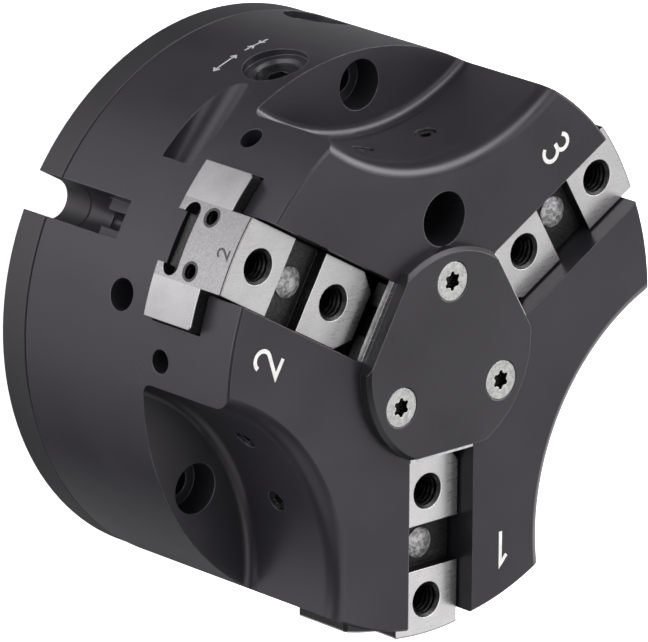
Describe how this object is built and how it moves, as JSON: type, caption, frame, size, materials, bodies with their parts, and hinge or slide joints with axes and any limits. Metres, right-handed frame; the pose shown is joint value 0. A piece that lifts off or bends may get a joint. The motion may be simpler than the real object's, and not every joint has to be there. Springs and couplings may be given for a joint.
{
  "type": "three jaw centric gripper",
  "caption": "Round black pneumatic gripper with jaws in three T slots that a wedge hook under the centre cover moves together towards the axis.",
  "frame": {"origin": "on the gripper's axis at the rear mounting face", "axes": "+Z along the axis from the rear mounting face to the jaws; jaw 1 lies along -Y, jaw 2 at 150 degrees and jaw 3 at 30 degrees from +X"},
  "size_m": [0.127, 0.128, 0.0775],
  "materials": {
    "black_anodised": "satin black anodised",
    "bright_steel": "ground and nickel plated",
    "cast_plug": "rough, cast",
    "plate_steel": "bright",
    "screw_steel": "zinc plated",
    "seal_rubber": "matt",
    "bush_bronze": "turned",
    "piston_aluminium": "turned",
    "magnet_grey": "matt",
    "guide_plastic": "matt"
  },
  "bodies": {
    "housing": {"housing": "black_anodised", "face_segment_1": "black_anodised", "face_segment_2": "black_anodised", "face_segment_3": "black_anodised", "rear_cover": "black_anodised", "rear_cover_screws": "screw_steel", "alignment_pins": "screw_steel", "cover_o_ring": "seal_rubber", "rod_bush": "bush_bronze", "rod_seal": "seal_rubber", "centre_cover": "black_anodised", "wiper_plate": "plate_steel", "centre_cover_screws": "screw_steel", "port_plugs": "screw_steel", "duct_plugs": "screw_steel"},
    "piston": {"piston": "piston_aluminium", "piston_seal": "seal_rubber", "piston_guide_ring": "guide_plastic", "piston_magnet": "magnet_grey", "wedge_hook": "bright_steel", "wedge_screw": "screw_steel"},
    "jaw_1": {"base_jaw_1": "bright_steel", "jaw_plug_1": "cast_plug"},
    "jaw_2": {"base_jaw_2": "bright_steel", "jaw_plug_2": "cast_plug"},
    "jaw_3": {"base_jaw_3": "bright_steel", "jaw_plug_3": "cast_plug"}
  },
  "joints": [
    {"name": "piston_slide", "type": "slide", "parent": "housing", "child": "piston", "axis": [0, 0, -1], "range_m": [0, 0.0125]},
    {"name": "jaw_1_slide", "type": "slide", "parent": "housing", "child": "jaw_1", "axis": [0, 1, 0], "range_m": [0, 0.01]},
    {"name": "jaw_2_slide", "type": "slide", "parent": "housing", "child": "jaw_2", "axis": [0.866, -0.5, 0], "range_m": [0, 0.01]},
    {"name": "jaw_3_slide", "type": "slide", "parent": "housing", "child": "jaw_3", "axis": [-0.866, -0.5, 0], "range_m": [0, 0.01]}
  ],
  "couplings": [
    {"joint": "jaw_1_slide", "follows": "piston_slide", "ratio": 0.8},
    {"joint": "jaw_2_slide", "follows": "piston_slide", "ratio": 0.8},
    {"joint": "jaw_3_slide", "follows": "piston_slide", "ratio": 0.8}
  ]
}
